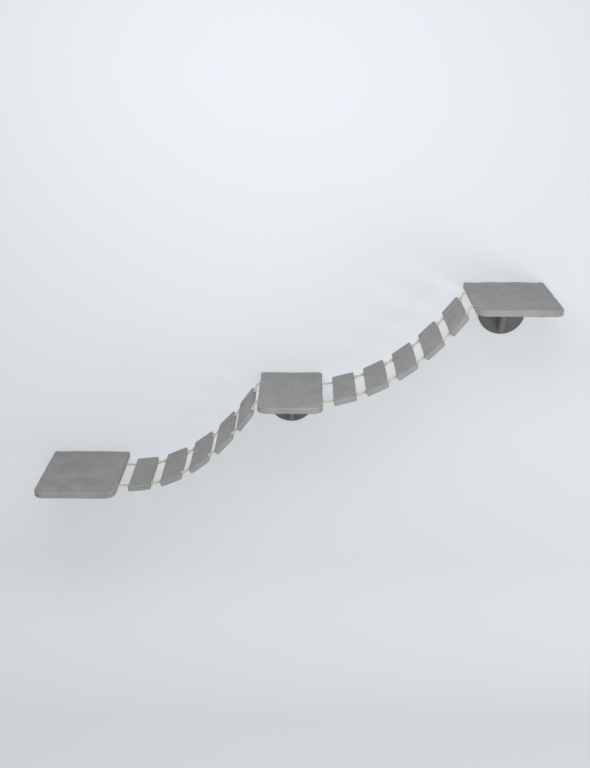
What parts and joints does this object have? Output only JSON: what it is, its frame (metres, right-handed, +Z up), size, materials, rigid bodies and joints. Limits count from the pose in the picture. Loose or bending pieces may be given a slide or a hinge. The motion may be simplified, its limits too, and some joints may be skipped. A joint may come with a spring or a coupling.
{
  "type": "cat wall ladder",
  "caption": "Padded platforms on round wall plates, stepped up a wall, with rope ladders of padded slats hung from each one to the next, for cats to climb.",
  "frame": {"origin": "centre of the back face of the middle wall plate, on the wall", "axes": "+X along the wall to the right, which is the way the ladder climbs, +Y into the wall, +Z up"},
  "size_m": [1.3799, 0.316, 0.6593],
  "materials": {
    "plush": "short grey plush over thin foam",
    "board": "bare plywood",
    "wrapped_wood": "grey plush glued over wood",
    "rope": "twisted cream cotton",
    "screw": "zinc plated"
  },
  "bodies": {
    "wall_set": {"left_platform_cover": "plush", "left_platform_board": "board", "left_wall_plate": "wrapped_wood", "left_rib": "wrapped_wood", "left_wall_screw_1": "screw", "left_wall_screw_2": "screw", "left_wall_screw_3": "screw", "left_wall_screw_4": "screw", "left_rib_screw_1": "screw", "left_rib_screw_2": "screw", "left_board_screw_1": "screw", "left_board_screw_2": "screw", "middle_platform_cover": "plush", "middle_platform_board": "board", "middle_wall_plate": "wrapped_wood", "middle_rib": "wrapped_wood", "middle_wall_screw_1": "screw", "middle_wall_screw_2": "screw", "middle_wall_screw_3": "screw", "middle_wall_screw_4": "screw", "middle_rib_screw_1": "screw", "middle_rib_screw_2": "screw", "middle_board_screw_1": "screw", "middle_board_screw_2": "screw", "right_platform_cover": "plush", "right_platform_board": "board", "right_wall_plate": "wrapped_wood", "right_rib": "wrapped_wood", "right_wall_screw_1": "screw", "right_wall_screw_2": "screw", "right_wall_screw_3": "screw", "right_wall_screw_4": "screw", "right_rib_screw_1": "screw", "right_rib_screw_2": "screw", "right_board_screw_1": "screw", "right_board_screw_2": "screw", "lower_back_rope": "rope", "lower_front_rope": "rope", "upper_back_rope": "rope", "upper_front_rope": "rope"},
    "lower_slat_1": {"lower_slat_1_board": "board", "lower_slat_1_cover": "plush"},
    "lower_slat_2": {"lower_slat_2_board": "board", "lower_slat_2_cover": "plush"},
    "lower_slat_3": {"lower_slat_3_board": "board", "lower_slat_3_cover": "plush"},
    "lower_slat_4": {"lower_slat_4_board": "board", "lower_slat_4_cover": "plush"},
    "lower_slat_5": {"lower_slat_5_board": "board", "lower_slat_5_cover": "plush"},
    "upper_slat_1": {"upper_slat_1_board": "board", "upper_slat_1_cover": "plush"},
    "upper_slat_2": {"upper_slat_2_board": "board", "upper_slat_2_cover": "plush"},
    "upper_slat_3": {"upper_slat_3_board": "board", "upper_slat_3_cover": "plush"},
    "upper_slat_4": {"upper_slat_4_board": "board", "upper_slat_4_cover": "plush"},
    "upper_slat_5": {"upper_slat_5_board": "board", "upper_slat_5_cover": "plush"}
  },
  "joints": [
    {"name": "lower_slat_1_sway", "type": "hinge", "parent": "wall_set", "child": "lower_slat_1", "pos_m": [-0.46993, -0.141, -0.173], "axis": [0, -1, 0], "range_deg": [-5.5, 5.5], "stiffness_Nm_per_rad": 0.5124, "springref_deg": 95.66, "deforming": ["lower_back_rope", "lower_front_rope"]},
    {"name": "lower_slat_2_sway", "type": "hinge", "parent": "lower_slat_1", "child": "lower_slat_2", "pos_m": [-0.36602, -0.141, -0.16378], "axis": [0, -1, 0], "range_deg": [-10.9, 10.9], "stiffness_Nm_per_rad": 0.28494, "springref_deg": 95.66},
    {"name": "lower_slat_3_sway", "type": "hinge", "parent": "lower_slat_2", "child": "lower_slat_3", "pos_m": [-0.28306, -0.141, -0.12902], "axis": [0, -1, 0], "range_deg": [-1.4, 1.4], "stiffness_Nm_per_rad": 0.14567, "springref_deg": 95.66},
    {"name": "lower_slat_4_sway", "type": "hinge", "parent": "lower_slat_3", "child": "lower_slat_4", "pos_m": [-0.21027, -0.141, -0.07601], "axis": [0, -1, 0], "range_deg": [-6.8, 6.8], "stiffness_Nm_per_rad": 0.05822, "springref_deg": 95.66},
    {"name": "lower_slat_5_sway", "type": "hinge", "parent": "lower_slat_4", "child": "lower_slat_5", "pos_m": [-0.14776, -0.141, -0.01109], "axis": [0, -1, 0], "range_deg": [-5.8, 5.8], "stiffness_Nm_per_rad": 0.013056, "springref_deg": 95.66},
    {"name": "upper_slat_1_sway", "type": "hinge", "parent": "wall_set", "child": "upper_slat_1", "pos_m": [0.086, -0.141, 0.0735], "axis": [0, -1, 0], "range_deg": [-5.5, 5.5], "stiffness_Nm_per_rad": 0.67543, "springref_deg": 71.42, "deforming": ["upper_back_rope", "upper_front_rope"]},
    {"name": "upper_slat_2_sway", "type": "hinge", "parent": "upper_slat_1", "child": "upper_slat_2", "pos_m": [0.18757, -0.141, 0.09818], "axis": [0, -1, 0], "range_deg": [-10.6, 10.6], "stiffness_Nm_per_rad": 0.37751, "springref_deg": 71.42},
    {"name": "upper_slat_3_sway", "type": "hinge", "parent": "upper_slat_2", "child": "upper_slat_3", "pos_m": [0.26805, -0.141, 0.1386], "axis": [0, -1, 0], "range_deg": [-2.1, 2.1], "stiffness_Nm_per_rad": 0.19658, "springref_deg": 71.42},
    {"name": "upper_slat_4_sway", "type": "hinge", "parent": "upper_slat_3", "child": "upper_slat_4", "pos_m": [0.34032, -0.141, 0.19243], "axis": [0, -1, 0], "range_deg": [-6.6, 6.6], "stiffness_Nm_per_rad": 0.080408, "springref_deg": 71.42},
    {"name": "upper_slat_5_sway", "type": "hinge", "parent": "upper_slat_4", "child": "upper_slat_5", "pos_m": [0.40446, -0.141, 0.25578], "axis": [0, -1, 0], "range_deg": [-6.4, 6.4], "stiffness_Nm_per_rad": 0.018441, "springref_deg": 71.42}
  ],
  "couplings": [
    {"joint": "lower_slat_2_sway", "follows": "lower_slat_1_sway", "ratio": -1.9729},
    {"joint": "lower_slat_3_sway", "follows": "lower_slat_1_sway", "ratio": -0.2372},
    {"joint": "lower_slat_4_sway", "follows": "lower_slat_1_sway", "ratio": 1.2173},
    {"joint": "lower_slat_5_sway", "follows": "lower_slat_1_sway", "ratio": 1.0363},
    {"joint": "upper_slat_2_sway", "follows": "upper_slat_1_sway", "ratio": -1.9074},
    {"joint": "upper_slat_3_sway", "follows": "upper_slat_1_sway", "ratio": -0.3615},
    {"joint": "upper_slat_4_sway", "follows": "upper_slat_1_sway", "ratio": 1.1758},
    {"joint": "upper_slat_5_sway", "follows": "upper_slat_1_sway", "ratio": 1.1479}
  ]
}
